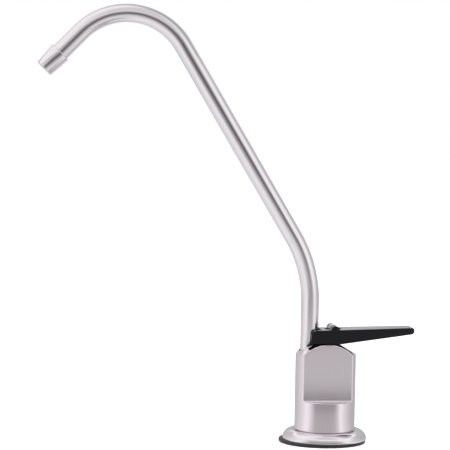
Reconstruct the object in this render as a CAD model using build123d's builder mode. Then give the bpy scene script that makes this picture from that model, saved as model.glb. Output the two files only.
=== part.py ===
from build123d import *
import os
from math import cos, pi, radians, sin, sqrt, tan

# Drinking water filter tap: a press lever tap with a tall swivel spout.
# Millimetres. The origin is on the shank's axis in the deck plane, which is the
# underside of the rubber deck gasket. +Z is up, the spout reaches towards -X and
# the lever towards +X. The two flats on the body face +Y and -Y.

# Clearances and the overrun that all cuts share
running_gap = 0.05
press_gap = 0.02
play = 0.3
overrun = 5.0

# Deck gasket, which lies a little off the shank's axis, and escutcheon
deck_gasket_radius = 23.0
deck_gasket_thickness = 1.8
deck_gasket_shift = 1.2
deck_gasket_groove_radius = 0.6
deck_gasket_groove_inset = 3.0
escutcheon_radius = 22.2
escutcheon_height = 4.7
escutcheon_flat_radius = 19.4
escutcheon_rim_height = 1.3
escutcheon_bulge = 0.62
escutcheon_wall = 1.3
escutcheon_recess = 0.5
escutcheon_recess_gap = 0.35
shank_hole_gap = 0.65

# Gasket between the escutcheon and the body
body_gasket_thickness = 0.5
body_gasket_inset = 0.6

# Body: a round bar with two flats, a domed top and a slanted facet under the lever
body_radius = 16.0
shoulder_height = 40.3
crown_height = 45.95
crown_inset = 6.9
flat_inset = 6.6
ledge_height = 16.0
cove_radius = 2.2
arch_bevel = 0.25
facet_angle = 31.0
facet_reach = 2.66
base_bevel = 0.3
socket_wall = 1.6
middle_wall = 2.2

# Threaded shank, its inlet bore and its seal in the body
shank_radius = 5.55
thread_pitch = 1.058
thread_depth = 0.5
thread_start = 1.2
shank_length = 52.0
shank_engagement = 6.0
shank_seal_thickness = 1.0
inlet_radius = 3.225

# Valve inside the body
chamber_radius = 5.0
seat_bore_radius = 2.0
seat_radius = 4.0
seat_height = 2.4
seat_lip = 0.6
seat_lip_width = 0.8
seat_floor = 1.0
inlet_gallery_height = 1.5
gallery_radius = 1.9
gallery_rise = 6.5
washer_radius = 3.5
washer_thickness = 1.3
stem_spigot_radius = 1.2
stem_foot_radius = 4.2
stem_foot_thickness = 1.5
stem_radius = 2.5
stem_head_width = 4.4
stem_head_drop = 4.4
spring_wire_radius = 0.4
spring_mean_radius = 3.5
spring_turns = 7
spring_end_gap = 0.1

# Bonnet that closes the valve chamber, and the seals' size
bonnet_length = 11.0
bonnet_rise = 0.6
bonnet_shoulder_drop = 1.6
bonnet_boss_radius = 3.4
bonnet_slot_width = 1.2
bonnet_slot_depth = 0.9
oring_radius = 0.85
oring_side_gap = 0.15
bonnet_oring_rise = 2.4
stem_oring_drop = 4.6

# Spout tube, its socket in the body and its end fitting
spout_radius = 4.7625
spout_wall = 0.8
socket_radius = 5.4
socket_floor_height = 21.0
socket_well_radius = 3.0
fitting_length = 12.0
fitting_bore_radius = 2.6
fitting_spigot = 5.0
fitting_oring_drop = 3.6
fitting_oring_spacing = 4.0
bushing_length = 7.6
bend_height = 86.17
bend_radius = 66.5
slant_angle = 31.06
slant_run = 115.8
neck_radius = 34.0
tip_angle = 45.8
tip_run = 14.8

# Outlet collar and the flow straightener inside it
collar_length = 12.0
collar_top_radius = 5.65
collar_tip_radius = 4.8
collar_grip = 4.5
collar_bore_radius = 3.9
collar_bevel = 0.3
straightener_length = 4.0
straightener_recess = 0.7
straightener_hole_radius = 0.75
straightener_ring_radius = 2.4
straightener_hole_count = 6

# Cross pin and lever, whose levels are taken from the pin's axis
pin_rise = 7.75
pin_radius = 1.2
pin_cover = 1.0
pin_recess = 0.2
lever_heel_reach = 12.7
lever_tip_reach = 43.0
lever_heel_half_width = 8.2
lever_waist_reach = 16.0
lever_waist_half_width = 7.4
lever_tip_half_width = 6.0
lever_tip_bulge = 1.2
lever_tip_corner = 2.5
lever_heel_drop = 0.4
lever_tip_rise = 1.05
lever_tip_thickness = 3.3
lever_tip_round = 1.4
lever_heel_round = 2.3
chin_reach = 3.5
chin_drop = 7.5
saddle_drop = 6.5
toe_length = 2.2
toe_drop = 9.1
toe_height = 2.3
ridge_radius = 2.4
fork_gap = 0.54
roof_gap = 1.0
pocket_drop = 2.8
pocket_reach = 7.2
window_half_length = 4.1
window_gap = 0.3

# Clamp set under the deck, and the nut and ferrule that hold the water tube
clamp_depth = 20.0
locating_washer_radius = 15.5
locating_washer_thickness = 3.0
locating_notch_count = 12
locating_notch_radius = 1.0
star_washer_radius = 10.5
star_washer_thickness = 0.8
star_tooth_count = 14
star_notch_width = 1.6
star_notch_depth = 2.0
nut_flats = 15.9
nut_bevel = 0.7
lock_nut_height = 6.0
tube_nut_cover = 6.0
tube_nut_floor = 1.6
ferrule_radius = 4.3
ferrule_length = 5.0
ferrule_cone = 2.0
ferrule_wall = 0.3

# Levels, radii and axes that follow from the sizes above
escutcheon_top_z = deck_gasket_thickness + escutcheon_height
body_base_z = escutcheon_top_z - escutcheon_recess + body_gasket_thickness
shoulder_z = body_base_z + shoulder_height
crown_z = body_base_z + crown_height
ledge_z = body_base_z + ledge_height
crown_rise = crown_z - shoulder_z
crown_radius = body_radius - crown_inset
flat_offset = body_radius - flat_inset
dome_centre_drop = (body_radius**2 - crown_radius**2 - crown_rise**2) / (2 * crown_rise)
dome_centre_z = shoulder_z - dome_centre_drop
dome_radius = sqrt(body_radius**2 + dome_centre_drop**2)
spout_x = socket_radius + socket_wall - body_radius
stem_x = spout_x + socket_radius + middle_wall + chamber_radius
shank_hole_radius = shank_radius + shank_hole_gap
shank_top_z = body_base_z + shank_engagement
shank_socket_top_z = shank_top_z + shank_seal_thickness
shank_bottom_z = -shank_length
seat_base_z = shank_socket_top_z + inlet_gallery_height + seat_floor
seat_top_z = seat_base_z + seat_height
chamber_floor_z = seat_top_z - seat_lip
gallery_z = chamber_floor_z + gallery_rise
washer_base_z = seat_top_z + running_gap
stem_foot_z = washer_base_z + washer_thickness
stem_foot_top_z = stem_foot_z + stem_foot_thickness
bonnet_top_z = crown_z + bonnet_rise
bonnet_base_z = bonnet_top_z - bonnet_length
bonnet_shoulder_z = crown_z - bonnet_shoulder_drop
spring_base_z = stem_foot_top_z + spring_end_gap
spring_top_z = bonnet_base_z - spring_end_gap
socket_floor_z = body_base_z + socket_floor_height
fitting_base_z = socket_floor_z + play
fitting_top_z = fitting_base_z + fitting_length
bushing_base_z = fitting_top_z + play
pin_z = crown_z + pin_rise
groove_height = 2 * (oring_radius + oring_side_gap)

# Axis and upright section plane through the valve stem
stem_axis = Axis((stem_x, 0, 0), (0, 0, 1))
stem_section = Plane((stem_x, 0, 0), x_dir=(1, 0, 0), z_dir=(0, -1, 0))

os.makedirs("parts", exist_ok=True)


def dome_height(radius):
    """Height of the dome's surface at a distance from the body's axis."""
    return dome_centre_z + sqrt(dome_radius**2 - radius**2)


def upright_plane(x, z):
    """A level plane whose origin is on the upright axis at x."""
    return Plane((x, 0, z))


# Body
mid_radius = (body_radius + crown_radius) / 2
facet_slope = tan(radians(facet_angle))
facet_top_x = stem_x + facet_reach
facet_end_x = body_radius + overrun
with BuildPart() as body:
    with BuildSketch(Plane.XZ):
        with BuildLine():
            Polyline((0, crown_z), (0, body_base_z), (body_radius, body_base_z), (body_radius, shoulder_z))
            ThreePointArc(
                (body_radius, shoulder_z),
                (mid_radius, dome_height(mid_radius)),
                (crown_radius, crown_z),
            )
            Line((crown_radius, crown_z), (0, crown_z))
        make_face()
    revolve(axis=Axis.Z)
    chamfer(body.edges().filter_by(GeomType.CIRCLE).group_by(Axis.Z)[0], base_bevel)
    # The two flats, each with a cove where it meets its ledge
    with BuildSketch(Plane.YZ) as flats:
        with BuildLine():
            Polyline(
                (flat_offset, crown_z + overrun),
                (flat_offset, ledge_z),
                (body_radius + overrun, ledge_z),
                (body_radius + overrun, crown_z + overrun),
                close=True,
            )
        make_face()
        fillet(flats.vertices().group_by(Axis.X)[0].group_by(Axis.Y)[0], cove_radius)
        mirror(about=Plane.YZ)
    extrude(amount=body_radius + overrun, both=True, mode=Mode.SUBTRACT)
    arches = [
        edge
        for edge in body.edges()
        if edge.center().Z > shoulder_z and abs(abs(edge.center().Y) - flat_offset) < press_gap
    ]
    chamfer(arches, arch_bevel)
    # The slanted facet that leaves room for the pressed lever
    with BuildSketch(Plane.XZ):
        with BuildLine():
            Polyline(
                (facet_top_x - overrun, crown_z + overrun * facet_slope),
                (facet_end_x, crown_z - (facet_end_x - facet_top_x) * facet_slope),
                (facet_end_x, crown_z + overrun * facet_slope),
                close=True,
            )
        make_face()
    extrude(amount=body_radius + overrun, both=True, mode=Mode.SUBTRACT)
    # Shank socket, and the gallery from it to the hole under the valve seat
    with BuildSketch(Plane.XY.offset(body_base_z)):
        Circle(shank_radius + press_gap)
    extrude(amount=shank_socket_top_z - body_base_z, mode=Mode.SUBTRACT)
    with BuildSketch(upright_plane(stem_x / 2, shank_socket_top_z)):
        SlotCenterToCenter(stem_x, 2 * seat_bore_radius)
    extrude(amount=inlet_gallery_height, mode=Mode.SUBTRACT)
    with BuildSketch(upright_plane(stem_x, shank_socket_top_z)):
        Circle(seat_bore_radius)
    extrude(amount=seat_base_z - shank_socket_top_z, mode=Mode.SUBTRACT)
    # Pocket for the valve seat, and the valve chamber above it
    with BuildSketch(upright_plane(stem_x, seat_base_z)):
        Circle(seat_radius)
    extrude(amount=seat_height, mode=Mode.SUBTRACT)
    with BuildSketch(upright_plane(stem_x, chamber_floor_z)):
        Circle(chamber_radius)
    extrude(amount=crown_z + overrun - chamber_floor_z, mode=Mode.SUBTRACT)
    # Spout socket, the well below it and the gallery from the valve chamber
    with BuildSketch(upright_plane(spout_x, socket_floor_z)):
        Circle(socket_radius)
    extrude(amount=crown_z + overrun - socket_floor_z, mode=Mode.SUBTRACT)
    with BuildSketch(upright_plane(spout_x, gallery_z - gallery_radius)):
        Circle(socket_well_radius)
    extrude(amount=socket_floor_z - gallery_z + gallery_radius, mode=Mode.SUBTRACT)
    with BuildSketch(Plane((spout_x, 0, gallery_z), x_dir=(0, 1, 0), z_dir=(1, 0, 0))):
        Circle(gallery_radius)
    extrude(amount=stem_x - spout_x, mode=Mode.SUBTRACT)
body.part.label = "body"
export_step(body.part, "parts/body.step")

# Gasket between the body and the escutcheon
with BuildPart() as body_gasket:
    with BuildSketch(Plane.XY.offset(body_base_z - body_gasket_thickness)):
        Circle(body_radius - body_gasket_inset)
        Circle(shank_hole_radius, mode=Mode.SUBTRACT)
    extrude(amount=body_gasket_thickness)
body_gasket.part.label = "body_gasket"
export_step(body_gasket.part, "parts/body_gasket.step")

# Escutcheon: a pressed shell with a shallow recess for the body's foot
rim_top_z = deck_gasket_thickness + escutcheon_rim_height
recess_radius = body_radius + escutcheon_recess_gap
recess_floor_z = escutcheon_top_z - escutcheon_recess
inner_top_z = recess_floor_z - escutcheon_wall
inner_radius = escutcheon_radius - escutcheon_wall
with BuildPart() as escutcheon:
    with BuildSketch(Plane.XZ):
        with BuildLine():
            Polyline(
                (shank_hole_radius, recess_floor_z),
                (recess_radius, recess_floor_z),
                (recess_radius, escutcheon_top_z),
                (escutcheon_flat_radius, escutcheon_top_z),
            )
            ThreePointArc(
                (escutcheon_flat_radius, escutcheon_top_z),
                (
                    (escutcheon_flat_radius + escutcheon_radius) / 2 + escutcheon_bulge,
                    (escutcheon_top_z + rim_top_z) / 2 + escutcheon_bulge,
                ),
                (escutcheon_radius, rim_top_z),
            )
            Polyline(
                (escutcheon_radius, rim_top_z),
                (escutcheon_radius, deck_gasket_thickness),
                (inner_radius, deck_gasket_thickness),
                (inner_radius, rim_top_z),
                (escutcheon_flat_radius - escutcheon_wall, inner_top_z),
                (shank_hole_radius, inner_top_z),
                (shank_hole_radius, recess_floor_z),
            )
        make_face()
    revolve(axis=Axis.Z)
escutcheon.part.label = "escutcheon"
export_step(escutcheon.part, "parts/escutcheon.step")

# Deck gasket with a sealing groove in its underside
with BuildPart() as deck_gasket:
    with BuildSketch(Plane.XY):
        with Locations((-deck_gasket_shift, 0)):
            Circle(deck_gasket_radius)
        Circle(shank_hole_radius, mode=Mode.SUBTRACT)
    extrude(amount=deck_gasket_thickness)
    with Locations((-deck_gasket_shift, 0, 0)):
        Torus(
            deck_gasket_radius - deck_gasket_groove_inset,
            deck_gasket_groove_radius,
            mode=Mode.SUBTRACT,
        )
deck_gasket.part.label = "deck_gasket"
export_step(deck_gasket.part, "parts/deck_gasket.step")

# Threaded shank, with one ring groove for each turn of its thread
turn_count = int((shank_length - thread_start) / thread_pitch)
root_radius = shank_radius - thread_depth
shank_outline = [(inlet_radius, shank_bottom_z), (root_radius, shank_bottom_z)]
for turn in range(turn_count):
    root_z = shank_bottom_z + turn * thread_pitch
    shank_outline.append((shank_radius, root_z + thread_pitch / 2))
    shank_outline.append((root_radius, root_z + thread_pitch))
shank_outline.append((shank_radius, root_z + thread_pitch + thread_depth))
shank_outline.append((shank_radius, shank_top_z))
shank_outline.append((inlet_radius, shank_top_z))
with BuildPart() as threaded_shank:
    with BuildSketch(Plane.XZ):
        with BuildLine():
            Polyline(*shank_outline, close=True)
        make_face()
    revolve(axis=Axis.Z)
threaded_shank.part.label = "threaded_shank"
export_step(threaded_shank.part, "parts/threaded_shank.step")

# Seal between the shank's end and the body
with BuildPart() as shank_seal:
    with BuildSketch(Plane.XY.offset(shank_top_z)):
        Circle(shank_radius)
        Circle(inlet_radius, mode=Mode.SUBTRACT)
    extrude(amount=shank_seal_thickness)
shank_seal.part.label = "shank_seal"
export_step(shank_seal.part, "parts/shank_seal.step")

# Valve seat: a ring with a raised lip that the washer shuts against
lip_radius = seat_bore_radius + seat_lip_width
with BuildPart() as valve_seat:
    with BuildSketch(stem_section):
        with BuildLine():
            Polyline(
                (seat_bore_radius, seat_base_z),
                (seat_radius - press_gap, seat_base_z),
                (seat_radius - press_gap, chamber_floor_z),
                (lip_radius + seat_lip / 2, chamber_floor_z),
                (lip_radius, seat_top_z),
                (seat_bore_radius, seat_top_z),
                close=True,
            )
        make_face()
    revolve(axis=stem_axis)
valve_seat.part.label = "valve_seat"
export_step(valve_seat.part, "parts/valve_seat.step")

# Rubber washer under the stem's foot
with BuildPart() as seat_washer:
    with BuildSketch(upright_plane(stem_x, washer_base_z)):
        Circle(washer_radius)
        Circle(stem_spigot_radius + press_gap, mode=Mode.SUBTRACT)
    extrude(amount=washer_thickness)
seat_washer.part.label = "seat_washer"
export_step(seat_washer.part, "parts/seat_washer.step")

# Valve stem: spigot, foot and rod, and a square head with the eye for the cross pin
head_base_z = pin_z - stem_head_drop
with BuildPart() as valve_stem:
    with BuildSketch(stem_section):
        with BuildLine():
            Polyline(
                (0, washer_base_z),
                (stem_spigot_radius, washer_base_z),
                (stem_spigot_radius, stem_foot_z),
                (stem_foot_radius, stem_foot_z),
                (stem_foot_radius, stem_foot_top_z),
                (stem_radius, stem_foot_top_z),
                (stem_radius, head_base_z),
                (0, head_base_z),
                close=True,
            )
        make_face()
    revolve(axis=stem_axis)
    with BuildSketch(Plane.XZ):
        with Locations((stem_x, pin_z)):
            Circle(stem_head_width / 2)
        with Locations((stem_x, pin_z - stem_head_drop / 2)):
            Rectangle(stem_head_width, stem_head_drop)
        with Locations((stem_x, pin_z)):
            Circle(pin_radius + running_gap, mode=Mode.SUBTRACT)
    extrude(amount=stem_head_width / 2, both=True)
valve_stem.part.label = "valve_stem"
export_step(valve_stem.part, "parts/valve_stem.step")

# Bonnet: a plug with a groove outside and one inside for its two seals
bonnet_oring_z = bonnet_base_z + bonnet_oring_rise
stem_oring_z = bonnet_top_z - stem_oring_drop
bonnet_oring_mean_radius = chamber_radius - oring_radius - press_gap
stem_oring_mean_radius = stem_radius + oring_radius + running_gap
with BuildPart() as bonnet:
    with BuildSketch(upright_plane(stem_x, bonnet_base_z)):
        Circle(chamber_radius - press_gap)
    extrude(amount=bonnet_shoulder_z - bonnet_base_z)
    with BuildSketch(upright_plane(stem_x, bonnet_shoulder_z)):
        Circle(bonnet_boss_radius)
    extrude(amount=bonnet_top_z - bonnet_shoulder_z)
    with BuildSketch(upright_plane(stem_x, bonnet_base_z)):
        Circle(stem_radius + running_gap)
    extrude(amount=bonnet_length, mode=Mode.SUBTRACT)
    with BuildSketch(upright_plane(stem_x, bonnet_oring_z - groove_height / 2)):
        Circle(chamber_radius)
        Circle(bonnet_oring_mean_radius - oring_radius - press_gap, mode=Mode.SUBTRACT)
    extrude(amount=groove_height, mode=Mode.SUBTRACT)
    with BuildSketch(upright_plane(stem_x, stem_oring_z - groove_height / 2)):
        Circle(stem_oring_mean_radius + oring_radius + press_gap)
    extrude(amount=groove_height, mode=Mode.SUBTRACT)
    with BuildSketch(upright_plane(stem_x, bonnet_top_z - bonnet_slot_depth)):
        Rectangle(bonnet_slot_width, 2 * chamber_radius)
    extrude(amount=bonnet_slot_depth, mode=Mode.SUBTRACT)
bonnet.part.label = "bonnet"
export_step(bonnet.part, "parts/bonnet.step")

with BuildPart() as bonnet_oring:
    with Locations((stem_x, 0, bonnet_oring_z)):
        Torus(bonnet_oring_mean_radius, oring_radius)
bonnet_oring.part.label = "bonnet_oring"
export_step(bonnet_oring.part, "parts/bonnet_oring.step")

with BuildPart() as stem_oring:
    with Locations((stem_x, 0, stem_oring_z)):
        Torus(stem_oring_mean_radius, oring_radius)
stem_oring.part.label = "stem_oring"
export_step(stem_oring.part, "parts/stem_oring.step")

# Return spring round the stem, as quarter turn arcs of a helix
coil_base_z = spring_base_z + spring_wire_radius
coil_rise = spring_top_z - spring_wire_radius - coil_base_z


def coil_point(turns):
    """A point on the spring's wire after a number of turns."""
    angle = 2 * pi * turns
    return (
        stem_x + spring_mean_radius * cos(angle),
        spring_mean_radius * sin(angle),
        coil_base_z + coil_rise * turns / spring_turns,
    )


with BuildPart() as valve_spring:
    with BuildLine() as coil:
        for quarter in range(4 * spring_turns):
            ThreePointArc(
                coil_point(quarter / 4), coil_point(quarter / 4 + 1 / 8), coil_point(quarter / 4 + 1 / 4)
            )
    with BuildSketch(Plane(coil_point(0), x_dir=(1, 0, 0), z_dir=(0, 1, 0))):
        Circle(spring_wire_radius)
    sweep(path=coil.wire())
valve_spring.part.label = "valve_spring"
export_step(valve_spring.part, "parts/valve_spring.step")

# End fitting that turns in the spout socket, with grooves for two seals
fitting_radius = socket_radius - running_gap
tube_inner_radius = spout_radius - spout_wall
upper_oring_z = fitting_top_z - fitting_oring_drop
lower_oring_z = upper_oring_z - fitting_oring_spacing
spout_oring_mean_radius = fitting_radius - oring_radius
with BuildPart() as spout_fitting:
    with BuildSketch(upright_plane(spout_x, fitting_base_z)):
        Circle(fitting_radius)
    extrude(amount=fitting_length)
    with BuildSketch(upright_plane(spout_x, fitting_top_z)):
        Circle(tube_inner_radius - press_gap)
    extrude(amount=fitting_spigot)
    with BuildSketch(upright_plane(spout_x, fitting_base_z)):
        Circle(fitting_bore_radius)
    extrude(amount=fitting_length + fitting_spigot, mode=Mode.SUBTRACT)
    for oring_z in (upper_oring_z, lower_oring_z):
        with BuildSketch(upright_plane(spout_x, oring_z - groove_height / 2)):
            Circle(socket_radius)
            Circle(spout_oring_mean_radius - oring_radius - press_gap, mode=Mode.SUBTRACT)
        extrude(amount=groove_height, mode=Mode.SUBTRACT)
spout_fitting.part.label = "spout_fitting"
export_step(spout_fitting.part, "parts/spout_fitting.step")

for oring_name, oring_z in (("spout_oring_upper", upper_oring_z), ("spout_oring_lower", lower_oring_z)):
    with BuildPart() as spout_oring:
        with Locations((spout_x, 0, oring_z)):
            Torus(spout_oring_mean_radius, oring_radius)
    spout_oring.part.label = oring_name
    export_step(spout_oring.part, f"parts/{oring_name}.step")

# Bushing that holds the end fitting down and guides the tube
with BuildPart() as spout_bushing:
    with BuildSketch(upright_plane(spout_x, bushing_base_z)):
        Circle(socket_radius - press_gap)
        Circle(spout_radius + running_gap, mode=Mode.SUBTRACT)
    extrude(amount=bushing_length)
spout_bushing.part.label = "spout_bushing"
export_step(spout_bushing.part, "parts/spout_bushing.step")

# Spout tube: upright, a wide bend, a long slant, the gooseneck and a short straight tip
slant = radians(slant_angle)
tip = radians(tip_angle)
bend_setback = bend_radius * tan(slant / 2)
corner_z = body_base_z + bend_height
slant_x, slant_z = -sin(slant), cos(slant)
tip_x, tip_z = -cos(tip), -sin(tip)
bend_start = (spout_x, corner_z - bend_setback)
bend_end = (spout_x + slant_x * bend_setback, corner_z + slant_z * bend_setback)
neck_start = (bend_end[0] + slant_x * slant_run, bend_end[1] + slant_z * slant_run)
neck_centre = (neck_start[0] - slant_z * neck_radius, neck_start[1] + slant_x * neck_radius)
neck_end = (neck_centre[0] + tip_z * neck_radius, neck_centre[1] - tip_x * neck_radius)
collar_top = (neck_end[0] + tip_x * tip_run, neck_end[1] + tip_z * tip_run)
tube_end = (collar_top[0] + tip_x * collar_grip, collar_top[1] + tip_z * collar_grip)
with BuildPart() as spout_tube:
    with BuildLine(Plane.XZ) as spout_path:
        Line((spout_x, fitting_top_z), bend_start)
        JernArc(bend_start, (0, 1), bend_radius, slant_angle)
        Line(bend_end, neck_start)
        JernArc(neck_start, (slant_x, slant_z), neck_radius, 90 + tip_angle - slant_angle)
        Line(neck_end, tube_end)
    with BuildSketch(upright_plane(spout_x, fitting_top_z)):
        Circle(spout_radius)
        Circle(tube_inner_radius, mode=Mode.SUBTRACT)
    sweep(path=spout_path.wire())
spout_tube.part.label = "spout_tube"
export_step(spout_tube.part, "parts/spout_tube.step")

# Outlet collar: a tapered sleeve over the tube's end
collar_plane = Plane((collar_top[0], 0, collar_top[1]), x_dir=(0, 1, 0), z_dir=(tip_x, 0, tip_z))
with BuildPart() as outlet_collar:
    with BuildSketch(collar_plane):
        Circle(collar_top_radius)
    with BuildSketch(collar_plane.offset(collar_length)):
        Circle(collar_tip_radius)
    loft()
    chamfer(outlet_collar.edges().filter_by(GeomType.CIRCLE), collar_bevel)
    with BuildSketch(collar_plane):
        Circle(spout_radius + press_gap)
    extrude(amount=collar_grip, mode=Mode.SUBTRACT)
    with BuildSketch(collar_plane):
        Circle(collar_bore_radius)
    extrude(amount=collar_length, mode=Mode.SUBTRACT)
outlet_collar.part.label = "outlet_collar"
export_step(outlet_collar.part, "parts/outlet_collar.step")

# Flow straightener: a disc with a centre hole and a ring of holes
straightener_start = collar_length - straightener_recess - straightener_length
with BuildPart() as flow_straightener:
    with BuildSketch(collar_plane.offset(straightener_start)):
        Circle(collar_bore_radius - press_gap)
        Circle(straightener_hole_radius, mode=Mode.SUBTRACT)
        with PolarLocations(straightener_ring_radius, straightener_hole_count):
            Circle(straightener_hole_radius, mode=Mode.SUBTRACT)
    extrude(amount=straightener_length)
flow_straightener.part.label = "flow_straightener"
export_step(flow_straightener.part, "parts/flow_straightener.step")

# Cross pin, put in from the +Y side of the lever and covered on the -Y side
pin_start_y = pin_cover - lever_heel_half_width
pin_end_y = lever_heel_half_width - pin_recess
with BuildPart() as cross_pin:
    with BuildSketch(Plane((stem_x, pin_start_y, pin_z), x_dir=(1, 0, 0), z_dir=(0, 1, 0))):
        Circle(pin_radius)
    extrude(amount=pin_end_y - pin_start_y)
cross_pin.part.label = "cross_pin"
export_step(cross_pin.part, "parts/cross_pin.step")

# Lever: side outline and ridge, cut to the plan outline, then hollowed
heel_x = stem_x - lever_heel_reach
lever_tip_x = stem_x + lever_tip_reach
heel_top_z = pin_z - lever_heel_drop
tip_top_z = pin_z + lever_tip_rise
waist_x = stem_x + lever_waist_reach
toe = (heel_x - toe_length, pin_z - toe_drop)
chin = (stem_x + chin_reach, pin_z - chin_drop)
fork_half_width = spout_radius + fork_gap
roof_x = spout_x + spout_radius + roof_gap
pocket_end_x = stem_x + pocket_reach
lever_cut_z = toe[1] - overrun
with BuildPart() as lever:
    with BuildSketch(Plane.XZ) as side:
        with BuildLine():
            ThreePointArc(chin, ((toe[0] + chin[0]) / 2, pin_z - saddle_drop), toe)
            Polyline(
                toe,
                (heel_x, toe[1] + toe_height),
                (heel_x, heel_top_z),
                (lever_tip_x, tip_top_z),
                (lever_tip_x, tip_top_z - lever_tip_thickness),
                chin,
            )
        make_face()
        fillet(side.vertices().sort_by_distance((heel_x, heel_top_z, 0))[0], lever_heel_round)
        fillet(side.vertices().group_by(Axis.X)[-1], lever_tip_round)
        with Locations((stem_x, pin_z)):
            Circle(ridge_radius)
    extrude(amount=lever_heel_half_width, both=True)
    with BuildSketch(Plane.XY.offset(lever_cut_z)) as plan:
        with BuildLine():
            ThreePointArc(
                (lever_tip_x - lever_tip_bulge, lever_tip_half_width),
                (lever_tip_x, 0),
                (lever_tip_x - lever_tip_bulge, -lever_tip_half_width),
            )
            Polyline(
                (lever_tip_x - lever_tip_bulge, -lever_tip_half_width),
                (waist_x, -lever_waist_half_width),
                (stem_x, -lever_heel_half_width),
                (toe[0] - overrun, -lever_heel_half_width),
                (toe[0] - overrun, lever_heel_half_width),
                (stem_x, lever_heel_half_width),
                (waist_x, lever_waist_half_width),
                (lever_tip_x - lever_tip_bulge, lever_tip_half_width),
            )
        make_face()
        fillet(plan.vertices().group_by(Axis.X)[-1], lever_tip_corner)
    extrude(amount=2 * overrun + toe_drop + ridge_radius, mode=Mode.INTERSECT)
    # Fork round the spout tube
    with BuildSketch(upright_plane(roof_x, lever_cut_z)):
        Rectangle(roof_x - toe[0] + overrun, 2 * fork_half_width, align=(Align.MAX, Align.CENTER))
    extrude(amount=2 * overrun + toe_drop + ridge_radius, mode=Mode.SUBTRACT)
    # Pocket under the roof, open to the fork, and the window for the stem's head
    with BuildSketch(upright_plane(pocket_end_x, lever_cut_z)):
        Rectangle(pocket_end_x - roof_x + overrun, 2 * fork_half_width, align=(Align.MAX, Align.CENTER))
    extrude(amount=toe_drop + overrun - pocket_drop, mode=Mode.SUBTRACT)
    with BuildSketch(upright_plane(stem_x, pin_z - pocket_drop - overrun)):
        Rectangle(2 * window_half_length, stem_head_width + 2 * window_gap)
    extrude(amount=pocket_drop + 2 * overrun, mode=Mode.SUBTRACT)
    # Hole for the cross pin
    with BuildSketch(Plane((stem_x, pin_start_y - running_gap, pin_z), x_dir=(1, 0, 0), z_dir=(0, 1, 0))):
        Circle(pin_radius + running_gap)
    extrude(amount=2 * lever_heel_half_width + overrun, mode=Mode.SUBTRACT)
lever.part.label = "lever"
export_step(lever.part, "parts/lever.step")

# Locating washer under the deck, with notches round its rim for the fingers
nut_bore_radius = shank_radius + running_gap
locating_washer_z = -clamp_depth - locating_washer_thickness
with BuildPart() as locating_washer:
    with BuildSketch(Plane.XY.offset(locating_washer_z)):
        Circle(locating_washer_radius)
        Circle(nut_bore_radius, mode=Mode.SUBTRACT)
        with PolarLocations(locating_washer_radius, locating_notch_count):
            Circle(locating_notch_radius, mode=Mode.SUBTRACT)
    extrude(amount=locating_washer_thickness)
locating_washer.part.label = "locating_washer"
export_step(locating_washer.part, "parts/locating_washer.step")

# Star washer with square teeth
star_washer_z = locating_washer_z - star_washer_thickness
with BuildPart() as star_washer:
    with BuildSketch(Plane.XY.offset(star_washer_z)):
        Circle(star_washer_radius)
        Circle(nut_bore_radius, mode=Mode.SUBTRACT)
        with PolarLocations(star_washer_radius, star_tooth_count):
            Rectangle(2 * star_notch_depth, star_notch_width, mode=Mode.SUBTRACT)
    extrude(amount=star_washer_thickness)
star_washer.part.label = "star_washer"
export_step(star_washer.part, "parts/star_washer.step")


def hexagon_blank(base_z, height):
    """A hexagonal nut blank with its corners bevelled."""
    flat_radius = nut_flats / 2
    corner_radius = flat_radius + nut_bevel * sqrt(3)
    with BuildPart() as blank:
        with BuildSketch(Plane.XY.offset(base_z)):
            RegularPolygon(flat_radius, 6, major_radius=False)
        extrude(amount=height)
        with BuildSketch(Plane.XZ):
            with BuildLine():
                Polyline(
                    (0, base_z),
                    (flat_radius, base_z),
                    (corner_radius, base_z + nut_bevel),
                    (corner_radius, base_z + height - nut_bevel),
                    (flat_radius, base_z + height),
                    (0, base_z + height),
                    close=True,
                )
            make_face()
        revolve(axis=Axis.Z, mode=Mode.INTERSECT)
    return blank.part


# Lock nut that pulls the clamp set up against the deck
lock_nut_z = star_washer_z - lock_nut_height
lock_nut_blank = hexagon_blank(lock_nut_z, lock_nut_height)
with BuildPart() as lock_nut:
    add(lock_nut_blank)
    with BuildSketch(Plane.XY.offset(lock_nut_z)):
        Circle(nut_bore_radius)
    extrude(amount=lock_nut_height, mode=Mode.SUBTRACT)
lock_nut.part.label = "lock_nut"
export_step(lock_nut.part, "parts/lock_nut.step")

# Tube nut on the shank's end, with room for the ferrule below the shank
ferrule_base_z = shank_bottom_z - play - ferrule_length
tube_nut_z = ferrule_base_z - tube_nut_floor
tube_nut_height = shank_bottom_z + tube_nut_cover - tube_nut_z
tube_nut_blank = hexagon_blank(tube_nut_z, tube_nut_height)
with BuildPart() as tube_nut:
    add(tube_nut_blank)
    with BuildSketch(Plane.XY.offset(tube_nut_z)):
        Circle(inlet_radius)
    extrude(amount=tube_nut_height, mode=Mode.SUBTRACT)
    with BuildSketch(Plane.XY.offset(ferrule_base_z)):
        Circle(ferrule_radius + play)
    extrude(amount=ferrule_length + play, mode=Mode.SUBTRACT)
    with BuildSketch(Plane.XY.offset(shank_bottom_z)):
        Circle(nut_bore_radius)
    extrude(amount=tube_nut_cover, mode=Mode.SUBTRACT)
tube_nut.part.label = "tube_nut"
export_step(tube_nut.part, "parts/tube_nut.step")

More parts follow.
